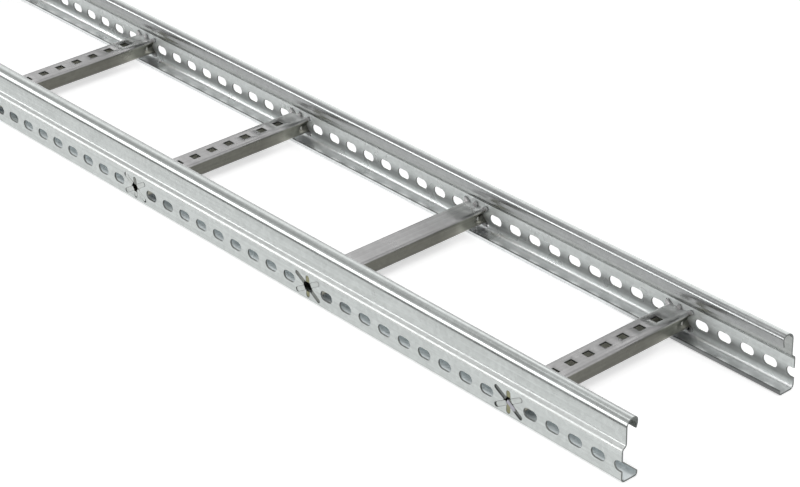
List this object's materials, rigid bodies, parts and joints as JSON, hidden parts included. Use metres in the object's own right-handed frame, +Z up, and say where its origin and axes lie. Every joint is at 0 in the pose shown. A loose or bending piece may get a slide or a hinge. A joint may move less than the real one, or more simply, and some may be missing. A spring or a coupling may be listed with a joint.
{
  "type": "cable ladder section",
  "caption": "Straight steel cable ladder section: two slotted roll-formed side rails joined by perforated tubular rungs crimped into star-shaped openings.",
  "frame": {"origin": "middle of the rectangle that the ladder stands on, at the underside of the rails' flanges", "axes": "+X along the ladder, +Y across it from the right rail to the left rail, +Z up out of the cable side"},
  "size_m": [3, 0.2, 0.056],
  "materials": {
    "galvanised_rail": "pre-galvanised strip, bright and lightly streaked along its length",
    "galvanised_rung": "pre-galvanised tube, a little duller than the rails"
  },
  "bodies": {
    "root": {"side_rail_right": "galvanised_rail", "side_rail_left": "galvanised_rail", "rung_01": "galvanised_rung", "rung_02": "galvanised_rung", "rung_03": "galvanised_rung", "rung_04": "galvanised_rung", "rung_05": "galvanised_rung", "rung_06": "galvanised_rung", "rung_07": "galvanised_rung", "rung_08": "galvanised_rung", "rung_09": "galvanised_rung", "rung_10": "galvanised_rung", "rung_11": "galvanised_rung", "rung_12": "galvanised_rung"}
  },
  "joints": []
}
